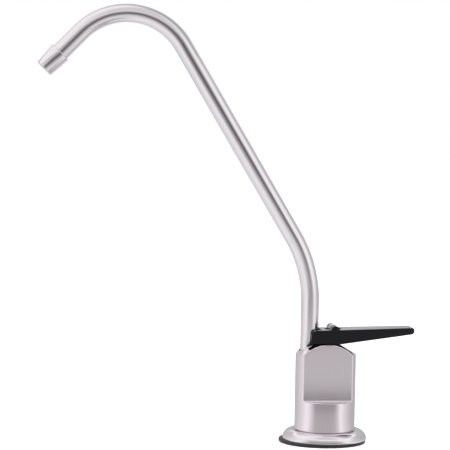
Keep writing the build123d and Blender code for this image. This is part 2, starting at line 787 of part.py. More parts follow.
# Ferrule that grips the water tube, with a cone at its upper end
with BuildPart() as ferrule:
    with BuildSketch(Plane.XZ):
        with BuildLine():
            Polyline(
                (inlet_radius, ferrule_base_z),
                (ferrule_radius, ferrule_base_z),
                (ferrule_radius, ferrule_base_z + ferrule_length - ferrule_cone),
                (inlet_radius + ferrule_wall, ferrule_base_z + ferrule_length),
                (inlet_radius, ferrule_base_z + ferrule_length),
                close=True,
            )
        make_face()
    revolve(axis=Axis.Z)
ferrule.part.label = "ferrule"
export_step(ferrule.part, "parts/ferrule.step")
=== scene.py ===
from math import atan2, cos, degrees, pi, radians, sin, sqrt, tan

import bpy
from mathutils import Matrix, Vector


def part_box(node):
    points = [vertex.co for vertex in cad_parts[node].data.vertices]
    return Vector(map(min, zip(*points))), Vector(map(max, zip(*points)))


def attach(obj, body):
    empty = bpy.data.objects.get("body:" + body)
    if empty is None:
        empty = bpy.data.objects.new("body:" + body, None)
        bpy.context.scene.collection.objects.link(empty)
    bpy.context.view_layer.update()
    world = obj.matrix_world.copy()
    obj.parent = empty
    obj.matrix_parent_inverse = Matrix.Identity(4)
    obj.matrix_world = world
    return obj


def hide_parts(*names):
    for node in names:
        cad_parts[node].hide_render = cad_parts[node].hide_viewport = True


# Drinking water filter tap: a press lever tap with a tall swivel spout.
# Metres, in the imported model's frame: the deck plane is z = 0, the spout reaches
# towards -X and the lever towards +X. The two flats on the body face +Y and -Y.

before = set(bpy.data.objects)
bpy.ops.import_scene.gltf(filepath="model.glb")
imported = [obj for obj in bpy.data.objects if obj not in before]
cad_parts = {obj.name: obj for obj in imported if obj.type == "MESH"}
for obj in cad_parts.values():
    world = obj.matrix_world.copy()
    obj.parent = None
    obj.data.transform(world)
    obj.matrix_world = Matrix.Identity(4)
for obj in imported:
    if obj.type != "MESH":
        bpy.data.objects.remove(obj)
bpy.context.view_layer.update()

# Camera, fitted to the photograph
camera_place = (-0.1990, -1.1736, 0.1972)
camera_azimuth = -7.0
camera_pitch = 4.0
camera_roll = 1.0
camera_lens = 181.0
camera_sensor = 36.0
camera_near = 0.01

# Body, whose outer size is the frame's
body_low, body_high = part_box("body")
body_radius = body_high[0]
body_base_z = body_low[2]
crown_z = body_high[2]
shoulder_height = 0.0403
shoulder_z = body_base_z + shoulder_height
crown_inset = 0.0069
crown_radius = body_radius - crown_inset
flat_depth = 0.0066
flat_offset = body_radius - flat_depth
ledge_height = 0.0160
ledge_z = body_base_z + ledge_height
cove_radius = 0.0007
base_bevel = 0.0003
facet_angle = 31.0
facet_top_x = 0.00626
body_edge_round = 0.00045

# Spout tube, its socket in the body and the collar at its end
spout_x = -0.0090
spout_radius = 0.0047625
spout_wall = 0.0008
spout_foot_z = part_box("spout_tube")[0][2]
socket_radius = 0.0054
socket_floor_height = 0.0210
socket_floor_z = body_base_z + socket_floor_height
bend_corner_height = 0.08617
bend_corner_z = body_base_z + bend_corner_height
bend_radius = 0.0665
slant_angle = 31.06
slant_run = 0.1158
neck_radius = 0.0340
tip_angle = 45.8
tip_run = 0.0148
collar_length = 0.0120
collar_top_radius = 0.00565
collar_tip_radius = 0.0048
collar_bore_radius = 0.0039
collar_grip = 0.0045
collar_edge_round = 0.0004

# Valve chamber and the pin's axis in the lever
stem_x = 0.0036
chamber_radius = 0.0050
chamber_floor_height = 0.0114
chamber_floor_z = body_base_z + chamber_floor_height
pin_rise = 0.00775
pin_z = crown_z + pin_rise
eye_radius = 0.00125
eye_start_y = -0.0072

# Lever, with its heights measured from the pin
# The toe is a thin black sheet that runs on past the heel and down over the dome. It is painted shade: it
# darkens the dome beside the heel, where the lever shades it.
shade_toe_x = -0.0113
heel_x = -0.0091
saddle_x = -0.0065
chin_x = 0.0071
lever_waist_x = 0.0196
tip_x = 0.0466
shade_toe_drop = 0.0091
shade_toe_z = pin_z - shade_toe_drop
shade_toe_thickness = 0.0010
heel_foot_drop = 0.0062
heel_foot_z = pin_z - heel_foot_drop
saddle_drop = 0.00735
saddle_z = pin_z - saddle_drop
chin_drop = 0.0075
chin_z = pin_z - chin_drop
heel_top_drop = 0.0004
heel_top_z = pin_z - heel_top_drop
tip_top_rise = 0.00105
tip_top_z = pin_z + tip_top_rise
tip_thickness = 0.0033
lever_heel_half_width = 0.0082
lever_waist_half_width = 0.0074
lever_tip_half_width = 0.0060
heel_round = 0.0027
tip_round = 0.0016
tip_end_angle = 72.0
tip_corner = 0.0025
ridge_radius = 0.0021
fork_half_width = 0.0053
fork_end_x = -0.00324
pocket_end_x = 0.0108
pocket_drop = 0.0028
pocket_roof_z = pin_z - pocket_drop
window_half_length = 0.0041
window_half_width = 0.0025
lever_edge_round = 0.0004

# Escutcheon and deck gasket
gasket_radius = 0.0230
gasket_shift = 0.0012
gasket_top_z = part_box("deck_gasket")[1][2]
gasket_edge_round = 0.0006
groove_inset = 0.0030
groove_radius = 0.0006
shank_hole_radius = 0.0062
escutcheon_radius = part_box("escutcheon")[1][0]
escutcheon_top_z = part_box("escutcheon")[1][2]
escutcheon_flat_radius = 0.0194
escutcheon_rim_height = 0.0013
escutcheon_rim_z = gasket_top_z + escutcheon_rim_height
escutcheon_bulge = 0.00035
escutcheon_wall = 0.0013
recess_gap = 0.00035
recess_radius = body_radius + recess_gap
recess_depth = 0.0005
recess_floor_z = escutcheon_top_z - recess_depth

# Working allowances
merge_distance = 0.0001
ring_merge_distance = 0.000001
clear = 0.00002
overrun = 0.0050

# Sides of the round pieces, and steps on their arcs
plate_sides = 128
ring_sides = 96
bore_sides = 64
tube_sides = 48
eye_sides = 32
bend_steps = 24
neck_steps = 64
dome_steps = 12
cove_steps = 8
shoulder_steps = 10
groove_steps = 6
gasket_rim_steps = 5
collar_rim_steps = 4
lever_round_steps = 6
lever_saddle_steps = 5
edge_round_steps = 3

# Angles in degrees past which an edge stays sharp, and under which faces count as one plane
crease_angle = 30
plate_crease_angle = 35
body_crease_angle = 25
lever_crease_angle = 32
one_plane_angle = 0.5


def deselect_all():
    """Leaves nothing selected, in object mode."""
    if bpy.context.mode != "OBJECT":
        bpy.ops.object.mode_set(mode="OBJECT")
    bpy.ops.object.select_all(action="DESELECT")


def pick(piece):
    """Selects one object and makes it the active one."""
    deselect_all()
    piece.select_set(True)
    bpy.context.view_layer.objects.active = piece


def edit(piece):
    """Opens one piece in edit mode with all of it selected."""
    pick(piece)
    bpy.ops.object.mode_set(mode="EDIT")
    bpy.ops.mesh.select_all(action="SELECT")


def place_in_mesh(piece):
    """Moves the object's place, turn and size into its mesh."""
    pick(piece)
    bpy.ops.object.transform_apply(location=True, rotation=True, scale=True)


def started(name):
    """Names the primitive just added and moves its place into its mesh."""
    piece = bpy.context.object
    piece.name = name
    place_in_mesh(piece)
    return piece


def choose_edges(piece, wanted):
    """Opens a piece with only the edges selected whose two ends pass a test."""
    pick(piece)
    bpy.ops.object.mode_set(mode="EDIT")
    bpy.ops.mesh.select_mode(type="EDGE")
    bpy.ops.mesh.select_all(action="DESELECT")
    bpy.ops.object.mode_set(mode="OBJECT")
    vertices = piece.data.vertices
    for edge in piece.data.edges:
        edge.select = all(wanted(vertices[index].co) for index in edge.vertices)
    bpy.ops.object.mode_set(mode="EDIT")


def turned(name, profile, sides):
    """A turned piece on an upright axis, from its profile of (radius, height) rings.

    It starts as a circle, and each next ring is extruded and scaled from the last.
    A profile that comes back to its start makes a closed ring."""
    deselect_all()
    radius, height = profile[0]
    bpy.ops.mesh.primitive_circle_add(
        vertices=sides, radius=radius, fill_type="NOTHING", location=(0, 0, height)
    )
    piece = started(name)
    edit(piece)
    if profile[0] != profile[-1]:
        bpy.ops.mesh.edge_face_add()
    for next_radius, next_height in profile[1:]:
        rise = next_height - height
        bpy.ops.mesh.extrude_region_move(TRANSFORM_OT_translate={"value": (0, 0, rise)})
        growth = next_radius / radius
        bpy.ops.transform.resize(value=(growth, growth, 1), center_override=(0, 0, next_height))
        radius, height = next_radius, next_height
    bpy.ops.mesh.select_all(action="SELECT")
    bpy.ops.mesh.remove_doubles(threshold=ring_merge_distance)
    bpy.ops.mesh.normals_make_consistent(inside=False)
    bpy.ops.object.mode_set(mode="OBJECT")
    return piece


def arc(centre, radius, start, end, steps):
    """Points on an arc, from one angle to another in degrees."""
    angles = [radians(start + (end - start) * step / steps) for step in range(steps + 1)]
    return [(centre[0] + radius * cos(angle), centre[1] + radius * sin(angle)) for angle in angles]


def block(name, low, high):
    """A box between two corners, for cutting."""
    deselect_all()
    middle = (Vector(low) + Vector(high)) / 2
    bpy.ops.mesh.primitive_cube_add(size=1, location=middle, scale=Vector(high) - Vector(low))
    return started(name)


def rod(name, radius, start, end, sides):
    """A round rod between two points."""
    deselect_all()
    axis = Vector(end) - Vector(start)
    bpy.ops.mesh.primitive_cylinder_add(
        vertices=sides,
        radius=radius,
        depth=axis.length,
        location=(Vector(start) + Vector(end)) / 2,
        rotation=Vector((0, 0, 1)).rotation_difference(axis).to_euler(),
    )
    return started(name)


def boolean(piece, tool, operation="DIFFERENCE"):
    """Cuts a piece with a tool, or joins the tool to it, and removes the tool."""
    pick(piece)
    change = piece.modifiers.new("change", "BOOLEAN")
    change.operation = operation
    change.object = tool
    change.solver = "EXACT"
    bpy.ops.object.modifier_apply(modifier=change.name)
    bpy.data.objects.remove(tool)


def smooth(piece, angle=crease_angle):
    """Smooth shading up to an angle between faces."""
    pick(piece)
    bpy.ops.object.shade_smooth_by_angle(angle=radians(angle))


def soften(piece, width, angle):
    """Rounds the sharp edges of a cut piece and evens its shading."""
    edit(piece)
    bpy.ops.mesh.dissolve_limited(angle_limit=radians(one_plane_angle))
    bpy.ops.mesh.remove_doubles(threshold=merge_distance)
    bpy.ops.object.mode_set(mode="OBJECT")
    rounding = piece.modifiers.new("rounding", "BEVEL")
    rounding.width = width
    rounding.segments = edge_round_steps
    rounding.limit_method = "ANGLE"
    rounding.angle_limit = radians(angle)
    rounding.use_clamp_overlap = False
    rounding.miter_outer = "MITER_ARC"
    bpy.ops.object.modifier_apply(modifier=rounding.name)
    smooth(piece, angle)
    evening = piece.modifiers.new("even_normals", "WEIGHTED_NORMAL")
    evening.keep_sharp = True
    bpy.ops.object.modifier_apply(modifier=evening.name)


def finish_base(name, metallic, **sockets):
    """A new material with its shader's own sockets set, and its object coordinates."""
    finish = bpy.data.materials.new(name)
    finish.use_nodes = True
    shader = finish.node_tree.nodes["Principled BSDF"]
    shader.inputs["Metallic"].default_value = metallic
    for socket, value in sockets.items():
        shader.inputs[socket.replace("_", " ")].default_value = value
    place = finish.node_tree.nodes.new("ShaderNodeTexCoord")
    return finish, shader, place.outputs["Object"]


# Finishes: the size of a pattern, how far it changes tone and gloss, and how deep it is
cloud_scale = 90
cloud_tone_share = 0.97
cloud_gloss_share = 0.1
mottle_scale = 300
mottle_tone_share = 0.85
mottle_gloss_share = 0.15
grain_detail = 4
grain_depth = 0.00002
skin_depth = 0.00003
noise_low, noise_high = 0.3, 0.7


def noise(finish, place, scale, detail=3, stretch=(1, 1, 1)):
    """A noise pattern on an object's coordinates, stretched along its axes."""
    nodes, links = finish.node_tree.nodes, finish.node_tree.links
    mapping = nodes.new("ShaderNodeMapping")
    mapping.inputs["Scale"].default_value = stretch
    links.new(place, mapping.inputs["Vector"])
    pattern = nodes.new("ShaderNodeTexNoise")
    pattern.inputs["Scale"].default_value = scale
    pattern.inputs["Detail"].default_value = detail
    links.new(mapping.outputs["Vector"], pattern.inputs["Vector"])
    return pattern.outputs["Fac"]


def spread(finish, pattern, low, high, socket):
    """Drives a shader socket from a pattern between two values."""
    nodes, links = finish.node_tree.nodes, finish.node_tree.links
    amount = nodes.new("ShaderNodeMapRange")
    amount.inputs["From Min"].default_value = noise_low
    amount.inputs["From Max"].default_value = noise_high
    amount.inputs["To Min"].default_value = low
    amount.inputs["To Max"].default_value = high
    links.new(pattern, amount.inputs["Value"])
    links.new(amount.outputs["Result"], socket)


def color_mix(nodes, links, factor):
    """A mix of two colours by a factor: the two colours' sockets and the result's."""
    mix = nodes.new("ShaderNodeMix")
    mix.data_type = "RGBA"
    links.new(factor, mix.inputs["Factor"])
    first, second = [socket for socket in mix.inputs if socket.type == "RGBA"]
    result = [socket for socket in mix.outputs if socket.type == "RGBA"][0]
    return first, second, result


def shade(finish, shader, pattern, low_color, high_color):
    """Drives the base colour from a pattern between two colours."""
    nodes, links = finish.node_tree.nodes, finish.node_tree.links
    low, high, result = color_mix(nodes, links, pattern)
    low.default_value = (*low_color, 1)
    high.default_value = (*high_color, 1)
    links.new(result, shader.inputs["Base Color"])


def relief(finish, shader, pattern, strength, depth):
    """A bump from a pattern, with its depth in metres."""
    nodes, links = finish.node_tree.nodes, finish.node_tree.links
    bump = nodes.new("ShaderNodeBump")
    bump.inputs["Strength"].default_value = strength
    bump.inputs["Distance"].default_value = depth
    links.new(pattern, bump.inputs["Height"])
    links.new(bump.outputs["Normal"], shader.inputs["Normal"])


def metal(name, color, roughness, grain, stretch, strength):
    """A plated or turned metal: soft clouds in its tone and gloss, and a fine grain."""
    finish, shader, place = finish_base(name, 1)
    cloud = noise(finish, place, cloud_scale)
    low, high = roughness * (1 - cloud_gloss_share), roughness * (1 + cloud_gloss_share)
    shade(finish, shader, cloud, [channel * cloud_tone_share for channel in color], color)
    spread(finish, cloud, low, high, shader.inputs["Roughness"])
    grain_pattern = noise(finish, place, grain, grain_detail, stretch)
    relief(finish, shader, grain_pattern, strength, grain_depth)
    return finish


def moulded(name, color, roughness, grain, strength, **sockets):
    """A moulded plastic or rubber: a faint mottle and a fine skin."""
    finish, shader, place = finish_base(name, 0, **sockets)
    mottle = noise(finish, place, mottle_scale)
    low, high = roughness * (1 - mottle_gloss_share), roughness * (1 + mottle_gloss_share)
    shade(finish, shader, mottle, [channel * mottle_tone_share for channel in color], color)
    spread(finish, mottle, low, high, shader.inputs["Roughness"])
    relief(finish, shader, noise(finish, place, grain), strength, skin_depth)
    return finish


satin_nickel = metal(
    "satin_nickel", (0.885, 0.84, 0.87), roughness=0.13, grain=2600, stretch=(1, 1, 1), strength=0.07
)
brushed_nickel = metal(
    "brushed_nickel", (0.90, 0.82, 0.875), roughness=0.16, grain=900, stretch=(1, 1, 7), strength=0.05
)
turned_brass = metal(
    "turned_brass", (0.80, 0.62, 0.34), roughness=0.26, grain=900, stretch=(1, 1, 8), strength=0.15
)
bright_steel = metal(
    "bright_steel", (0.68, 0.68, 0.69), roughness=0.22, grain=1500, stretch=(1, 1, 4), strength=0.1
)
black_gloss = moulded(
    "black_gloss", (0.004, 0.004, 0.006), roughness=0.15, grain=1800, strength=0.04, Specular_IOR_Level=0.3
)
black_rubber = moulded("black_rubber", (0.016, 0.016, 0.017), roughness=0.48, grain=3500, strength=0.35)
black_nylon = moulded("black_nylon", (0.022, 0.022, 0.024), roughness=0.45, grain=2500, strength=0.2)
pale_nylon = moulded(
    "pale_nylon", (0.80, 0.79, 0.76), roughness=0.42, grain=2500, strength=0.12, Subsurface_Weight=0.1
)


def dress(piece, finish):
    """Gives a piece one finish all over."""
    piece.data.materials.clear()
    piece.data.materials.append(finish)


def hand_over(piece, body, slot, finish, *nodes):
    """Finishes a piece, hangs it on its body and lets it stand for CAD nodes."""
    dress(piece, finish)
    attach(piece, body)
    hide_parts(*nodes)


# The spout's route: its ends and its bends' centres follow from the runs and angles
slant = radians(slant_angle)
tip = radians(tip_angle)
slant_way = Vector((-sin(slant), 0, cos(slant)))
tip_way = Vector((-cos(tip), 0, -sin(tip)))
bend_setback = bend_radius * tan(slant / 2)
bend_start = Vector((spout_x, 0, bend_corner_z - bend_setback))
bend_centre = bend_start - Vector((bend_radius, 0, 0))
bend_end = Vector((spout_x, 0, bend_corner_z)) + slant_way * bend_setback
neck_start = bend_end + slant_way * slant_run
neck_centre = neck_start + Vector((-slant_way.z, 0, slant_way.x)) * neck_radius
neck_end = neck_centre + Vector((tip_way.z, 0, -tip_way.x)) * neck_radius
collar_start = neck_end + tip_way * tip_run


def make_spout_tube():
    """The bent tube: a circle extruded along the runs and spun round the bends."""
    deselect_all()
    bpy.ops.mesh.primitive_circle_add(
        vertices=tube_sides,
        radius=spout_radius,
        fill_type="NOTHING",
        location=(spout_x, 0, spout_foot_z),
    )
    tube = started("bent_spout_tube")
    edit(tube)
    rise = bend_start.z - spout_foot_z
    bpy.ops.mesh.extrude_region_move(TRANSFORM_OT_translate={"value": (0, 0, rise)})
    bpy.ops.mesh.spin(steps=bend_steps, angle=slant, axis=(0, 1, 0), center=bend_centre)
    bpy.ops.mesh.extrude_region_move(TRANSFORM_OT_translate={"value": slant_way * slant_run})
    neck_turn = pi / 2 + tip - slant
    bpy.ops.mesh.spin(steps=neck_steps, angle=neck_turn, axis=(0, 1, 0), center=neck_centre)
    last_run = tip_way * (tip_run + collar_grip - clear)
    bpy.ops.mesh.extrude_region_move(TRANSFORM_OT_translate={"value": last_run})
    bpy.ops.mesh.select_all(action="SELECT")
    bpy.ops.mesh.normals_make_consistent(inside=False)
    bpy.ops.object.mode_set(mode="OBJECT")
    wall = tube.modifiers.new("wall", "SOLIDIFY")
    wall.thickness = spout_wall
    wall.offset = -1
    bpy.ops.object.modifier_apply(modifier=wall.name)
    smooth(tube)
    hand_over(tube, "spout", "satin_nickel", satin_nickel, "spout_tube")


def make_collar():
    """The tapered outlet collar, turned upright and then laid along the tube's end."""
    rim = collar_edge_round
    profile = [(spout_radius + clear, 0.0)]
    profile += arc((collar_top_radius - rim, rim), rim, -90, 0, collar_rim_steps)
    profile += arc((collar_tip_radius - rim, collar_length - rim), rim, 0, 90, collar_rim_steps)
    profile += [(collar_bore_radius, collar_length), (collar_bore_radius, collar_grip)]
    profile += [(spout_radius + clear, collar_grip), (spout_radius + clear, 0.0)]
    collar = turned("tapered_outlet_collar", profile, bore_sides)
    lean = Vector((0, 0, 1)).rotation_difference(tip_way).to_matrix().to_4x4()
    collar.matrix_world = Matrix.Translation(collar_start) @ lean
    place_in_mesh(collar)
    smooth(collar)
    hand_over(collar, "spout", "satin_nickel", satin_nickel, "outlet_collar")


def on_ledge_corner(end):
    """Tells whether an edge's end is on the inner lower corner of a flat's cutter."""
    return abs(abs(end.y) - flat_offset) < clear and end.z < shoulder_z


def make_body():
    """The domed body: turned, then cut by its flats, its facet and its two bores."""
    rise = crown_z - shoulder_z
    drop = (body_radius**2 - crown_radius**2 - rise**2) / (2 * rise)
    dome_radius = sqrt(body_radius**2 + drop**2)
    shoulder_angle = degrees(atan2(drop, body_radius))
    crown_angle = degrees(atan2(drop + rise, crown_radius))
    profile = [(body_radius - base_bevel, body_base_z), (body_radius, body_base_z + base_bevel)]
    dome_centre = (0, shoulder_z - drop)
    profile += arc(dome_centre, dome_radius, shoulder_angle, crown_angle, dome_steps)
    body = turned("domed_body", profile, plate_sides)
    reach = body_radius + overrun
    top_z = crown_z + overrun
    for side in (-1, 1):
        near, far = sorted((side * flat_offset, side * reach))
        cutter = block("flat_cutter", (-reach, near, ledge_z), (reach, far, top_z))
        choose_edges(cutter, on_ledge_corner)
        bpy.ops.mesh.bevel(offset=cove_radius, segments=cove_steps)
        bpy.ops.object.mode_set(mode="OBJECT")
        boolean(body, cutter)
    edit(body)
    bpy.ops.mesh.bisect(
        plane_co=(facet_top_x, 0, crown_z),
        plane_no=(sin(radians(facet_angle)), 0, cos(radians(facet_angle))),
        use_fill=True,
        clear_outer=True,
    )
    bpy.ops.object.mode_set(mode="OBJECT")
    for name, radius, x, floor_z in (
        ("socket", socket_radius, spout_x, socket_floor_z),
        ("chamber", chamber_radius, stem_x, chamber_floor_z),
    ):
        boolean(body, rod(name, radius, (x, 0, floor_z), (x, 0, top_z), bore_sides))
    soften(body, body_edge_round, body_crease_angle)
    hand_over(body, "fixture", "satin_nickel", brushed_nickel, "body")


def make_escutcheon():
    """The pressed escutcheon: a shell with a soft shoulder and a recess for the body."""
    start = (escutcheon_flat_radius, escutcheon_top_z)
    end = (escutcheon_radius, escutcheon_rim_z)
    shoulder = []
    # The swell is a parabola that reaches the bulge half way down the shoulder
    for step in range(1, shoulder_steps):
        share = step / shoulder_steps
        swell = 4 * escutcheon_bulge * share * (1 - share)
        shoulder.append([a + (b - a) * share + swell for a, b in zip(start, end)])
    inner_radius = escutcheon_radius - escutcheon_wall
    inner_flat_radius = escutcheon_flat_radius - escutcheon_wall
    inner_z = recess_floor_z - escutcheon_wall
    profile = [
        (shank_hole_radius, recess_floor_z),
        (recess_radius, recess_floor_z),
        (recess_radius, escutcheon_top_z - clear),
        (recess_radius + clear, escutcheon_top_z),
        start,
        *shoulder,
        end,
        (escutcheon_radius, gasket_top_z),
        (inner_radius, gasket_top_z),
        (inner_radius, escutcheon_rim_z),
        (inner_flat_radius, inner_z),
        (shank_hole_radius, inner_z),
        (shank_hole_radius, recess_floor_z),
    ]
    escutcheon = turned("pressed_escutcheon", profile, plate_sides)
    smooth(escutcheon, plate_crease_angle)
    hand_over(escutcheon, "fixture", "satin_nickel", satin_nickel, "escutcheon")


def make_deck_gasket():
    """The flat rubber gasket, with a rounded rim and a sealing groove underneath."""
    rim = gasket_edge_round
    outer = gasket_radius - rim
    groove = arc((gasket_radius - groove_inset, 0), groove_radius, 180, 0, groove_steps)
    profile = [(shank_hole_radius, 0.0), *groove]
    profile += arc((outer, rim), rim, -90, 0, gasket_rim_steps)
    profile += arc((outer, gasket_top_z - rim), rim, 0, 90, gasket_rim_steps)
    profile += [(shank_hole_radius, gasket_top_z), (shank_hole_radius, 0.0)]
    gasket = turned("rubber_deck_gasket", profile, ring_sides)
    edit(gasket)
    bpy.ops.transform.translate(value=(-gasket_shift, 0, 0))
    bpy.ops.object.mode_set(mode="OBJECT")
    smooth(gasket, plate_crease_angle)
    hand_over(gasket, "fixture", "rubber", black_rubber, "deck_gasket")


def between(x, start, end):
    """The value at x on the straight line between two points."""
    return start[1] + (end[1] - start[1]) * (x - start[0]) / (end[0] - start[0])


def saddle_height(x):
    """The lever's underside before its chin: straight, then curving down to its toe, a thin black sheet of
    painted shade over the dome.
    """
    if x > saddle_x:
        return between(x, (saddle_x, saddle_z), (chin_x, chin_z))
    return saddle_z - (saddle_z - shade_toe_z) * ((saddle_x - x) / (saddle_x - shade_toe_x)) ** 2


def lever_top(x):
    """The lever's top, which rises a little from its heel to its tip."""
    return between(x, (heel_x, heel_top_z), (tip_x, tip_top_z))


def lever_underside(x):
    """The lever's underside, from its chin to its tip."""
    return between(x, (chin_x, chin_z), (tip_x, tip_top_z - tip_thickness))


def lever_stations():
    """The lever's sections from toe to tip, each a place, half width, bottom and top; the toe is a thin
    black sheet of painted shade over the dome.
    """
    stations = [
        # The thin toe: a black sheet of painted shade lying on the dome beside the heel
        (shade_toe_x, lever_heel_half_width, shade_toe_z, shade_toe_z + shade_toe_thickness),
        (heel_x, lever_heel_half_width, saddle_height(heel_x), heel_foot_z),
    ]
    for step in range(lever_round_steps + 1):
        angle = pi / 2 * step / lever_round_steps
        x = heel_x + heel_round * (1 - cos(angle))
        top = lever_top(x) - heel_round * (1 - sin(angle))
        stations.append((x, lever_heel_half_width, saddle_height(x), top))
    for step in range(1, lever_saddle_steps + 1):
        x = heel_x + heel_round + (stem_x - heel_x - heel_round) * step / lever_saddle_steps
        stations.append((x, lever_heel_half_width, saddle_height(x), lever_top(x)))
    chin_half_width = between(
        chin_x, (stem_x, lever_heel_half_width), (lever_waist_x, lever_waist_half_width)
    )
    stations.append((chin_x, chin_half_width, chin_z, lever_top(chin_x)))
    waist_bottom, waist_top = lever_underside(lever_waist_x), lever_top(lever_waist_x)
    stations.append((lever_waist_x, lever_waist_half_width, waist_bottom, waist_top))
    last_angle = radians(tip_end_angle)
    for step in range(lever_round_steps + 1):
        angle = last_angle * step / lever_round_steps
        x = tip_x - tip_corner * (sin(last_angle) - sin(angle))
        half_width = lever_tip_half_width - tip_corner * (1 - cos(angle))
        share = max(0, (x - tip_x + tip_round) / tip_round) * sin(last_angle)
        inset = tip_round * (1 - sqrt(1 - share**2))
        stations.append((x, half_width, lever_underside(x) + inset, lever_top(x) - inset))
    return stations


def drawn_out(name, stations):
    """A closed bar, extruded and scaled along X from one rectangular section to the next."""
    x, half_width, bottom, top = stations[0]
    middle = (x, 0, (bottom + top) / 2)
    deselect_all()
    bpy.ops.mesh.primitive_plane_add(size=1, location=middle, rotation=(0, pi / 2, 0))
    bar = started(name)
    edit(bar)
    bpy.ops.transform.resize(value=(1, 2 * half_width, top - bottom), center_override=middle)
    for next_x, next_half_width, next_bottom, next_top in stations[1:]:
        rise = (next_bottom + next_top - bottom - top) / 2
        bpy.ops.mesh.extrude_region_move(TRANSFORM_OT_translate={"value": (next_x - x, 0, rise)})
        bpy.ops.transform.resize(
            value=(1, next_half_width / half_width, (next_top - next_bottom) / (top - bottom)),
            center_override=(next_x, 0, (next_bottom + next_top) / 2),
        )
        x, half_width, bottom, top = next_x, next_half_width, next_bottom, next_top
    bpy.ops.mesh.select_all(action="SELECT")
    bpy.ops.mesh.normals_make_consistent(inside=False)
    bpy.ops.object.mode_set(mode="OBJECT")
    return bar


def make_lever():
    """The black lever: drawn out from toe to tip, then ridged, forked and hollowed. Its thin toe is a
    sheet of painted shade over the dome beside the heel.
    """
    lever = drawn_out("press_lever", lever_stations())
    side = lever_heel_half_width
    ridge = rod("ridge", ridge_radius, (stem_x, -side, pin_z), (stem_x, side, pin_z), tube_sides)
    boolean(lever, ridge, "UNION")
    low_z, high_z = shade_toe_z - overrun, pin_z + overrun
    for name, start_x, end_x, half_width, start_z, end_z in (
        ("fork", shade_toe_x - overrun, fork_end_x, fork_half_width, low_z, high_z),
        ("pocket", fork_end_x - clear, pocket_end_x, fork_half_width, low_z, pocket_roof_z),
        (
            "window",
            stem_x - window_half_length,
            stem_x + window_half_length,
            window_half_width,
            pin_z - overrun,
            high_z,
        ),
    ):
        boolean(lever, block(name, (start_x, -half_width, start_z), (end_x, half_width, end_z)))
    eye_start, eye_end = (stem_x, eye_start_y, pin_z), (stem_x, side + overrun, pin_z)
    boolean(lever, rod("eye", eye_radius, eye_start, eye_end, eye_sides))
    soften(lever, lever_edge_round, lever_crease_angle)
    hand_over(lever, "lever", "black_plastic", black_gloss, "lever")


# Finishes of the CAD nodes that stay as they are
carried_finishes = {
    "body_gasket": black_rubber,
    "shank_seal": black_rubber,
    "seat_washer": black_rubber,
    "bonnet_oring": black_rubber,
    "stem_oring": black_rubber,
    "spout_oring_upper": black_rubber,
    "spout_oring_lower": black_rubber,
    "threaded_shank": turned_brass,
    "valve_seat": turned_brass,
    "spout_fitting": turned_brass,
    "lock_nut": turned_brass,
    "tube_nut": turned_brass,
    "ferrule": turned_brass,
    "valve_stem": bright_steel,
    "valve_spring": bright_steel,
    "cross_pin": bright_steel,
    "star_washer": bright_steel,
    "bonnet": black_nylon,
    "spout_bushing": black_nylon,
    "locating_washer": black_nylon,
    "flow_straightener": pale_nylon,
}


def dress_carried_nodes():
    """Gives the CAD nodes that stay as they are their real finishes."""
    for node, finish in carried_finishes.items():
        dress(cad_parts[node], finish)


# Studio: the plain light from all round, and the pale deck
soft_light = 0.62
deck_size = 8
deck_z = -0.0001
deck_tone = 0.80
deck_glow = 0.55


def highest(nodes, links, first, *others):
    """The highest of several values, which are one or zero."""
    last = first
    for value in others:
        most = nodes.new("ShaderNodeMath")
        most.operation = "MAXIMUM"
        links.new(last, most.inputs[0])
        links.new(value, most.inputs[1])
        last = most.outputs[0]
    return last


def make_world():
    """A white background to the eye and in reflections, and plain soft light."""
    world = bpy.data.worlds.new("studio")
    bpy.context.scene.world = world
    world.use_nodes = True
    nodes, links = world.node_tree.nodes, world.node_tree.links
    plain = nodes["Background"]
    plain.inputs["Color"].default_value = (1, 1, 1, 1)
    plain.inputs["Strength"].default_value = soft_light
    white = nodes.new("ShaderNodeBackground")
    white.inputs["Color"].default_value = (1, 1, 1, 1)
    path = nodes.new("ShaderNodeLightPath").outputs
    seen = nodes.new("ShaderNodeMixShader")
    rays = highest(
        nodes, links, path["Is Camera Ray"], path["Is Glossy Ray"], path["Is Transmission Ray"]
    )
    links.new(rays, seen.inputs["Fac"])
    links.new(plain.outputs[0], seen.inputs[1])
    links.new(white.outputs[0], seen.inputs[2])
    links.new(seen.outputs[0], nodes["World Output"].inputs["Surface"])


def make_floor():
    """The plain pale deck that the tap stands on, which keeps its shadow."""
    deselect_all()
    bpy.ops.mesh.primitive_plane_add(size=deck_size, location=(0, 0, deck_z))
    floor = started("deck")
    paint, shader, _ = finish_base("pale_deck", 0, Specular_IOR_Level=0.0, Roughness=0.9)
    shader.inputs["Base Color"].default_value = (deck_tone, deck_tone, deck_tone, 1)
    shader.inputs["Emission Color"].default_value = (1, 1, 1, 1)
    nodes, links = paint.node_tree.nodes, paint.node_tree.links
    path = nodes.new("ShaderNodeLightPath").outputs
    glow = nodes.new("ShaderNodeMath")
    glow.operation = "MULTIPLY"
    glow.inputs[1].default_value = deck_glow
    links.new(path["Is Camera Ray"], glow.inputs[0])
    links.new(glow.outputs[0], shader.inputs["Emission Strength"])
    dress(floor, paint)


# Grey paper round the tap that only reflections see, for the dark bands on the metal.
# Each tone is given for a direction, in degrees from the front towards the lever's side.

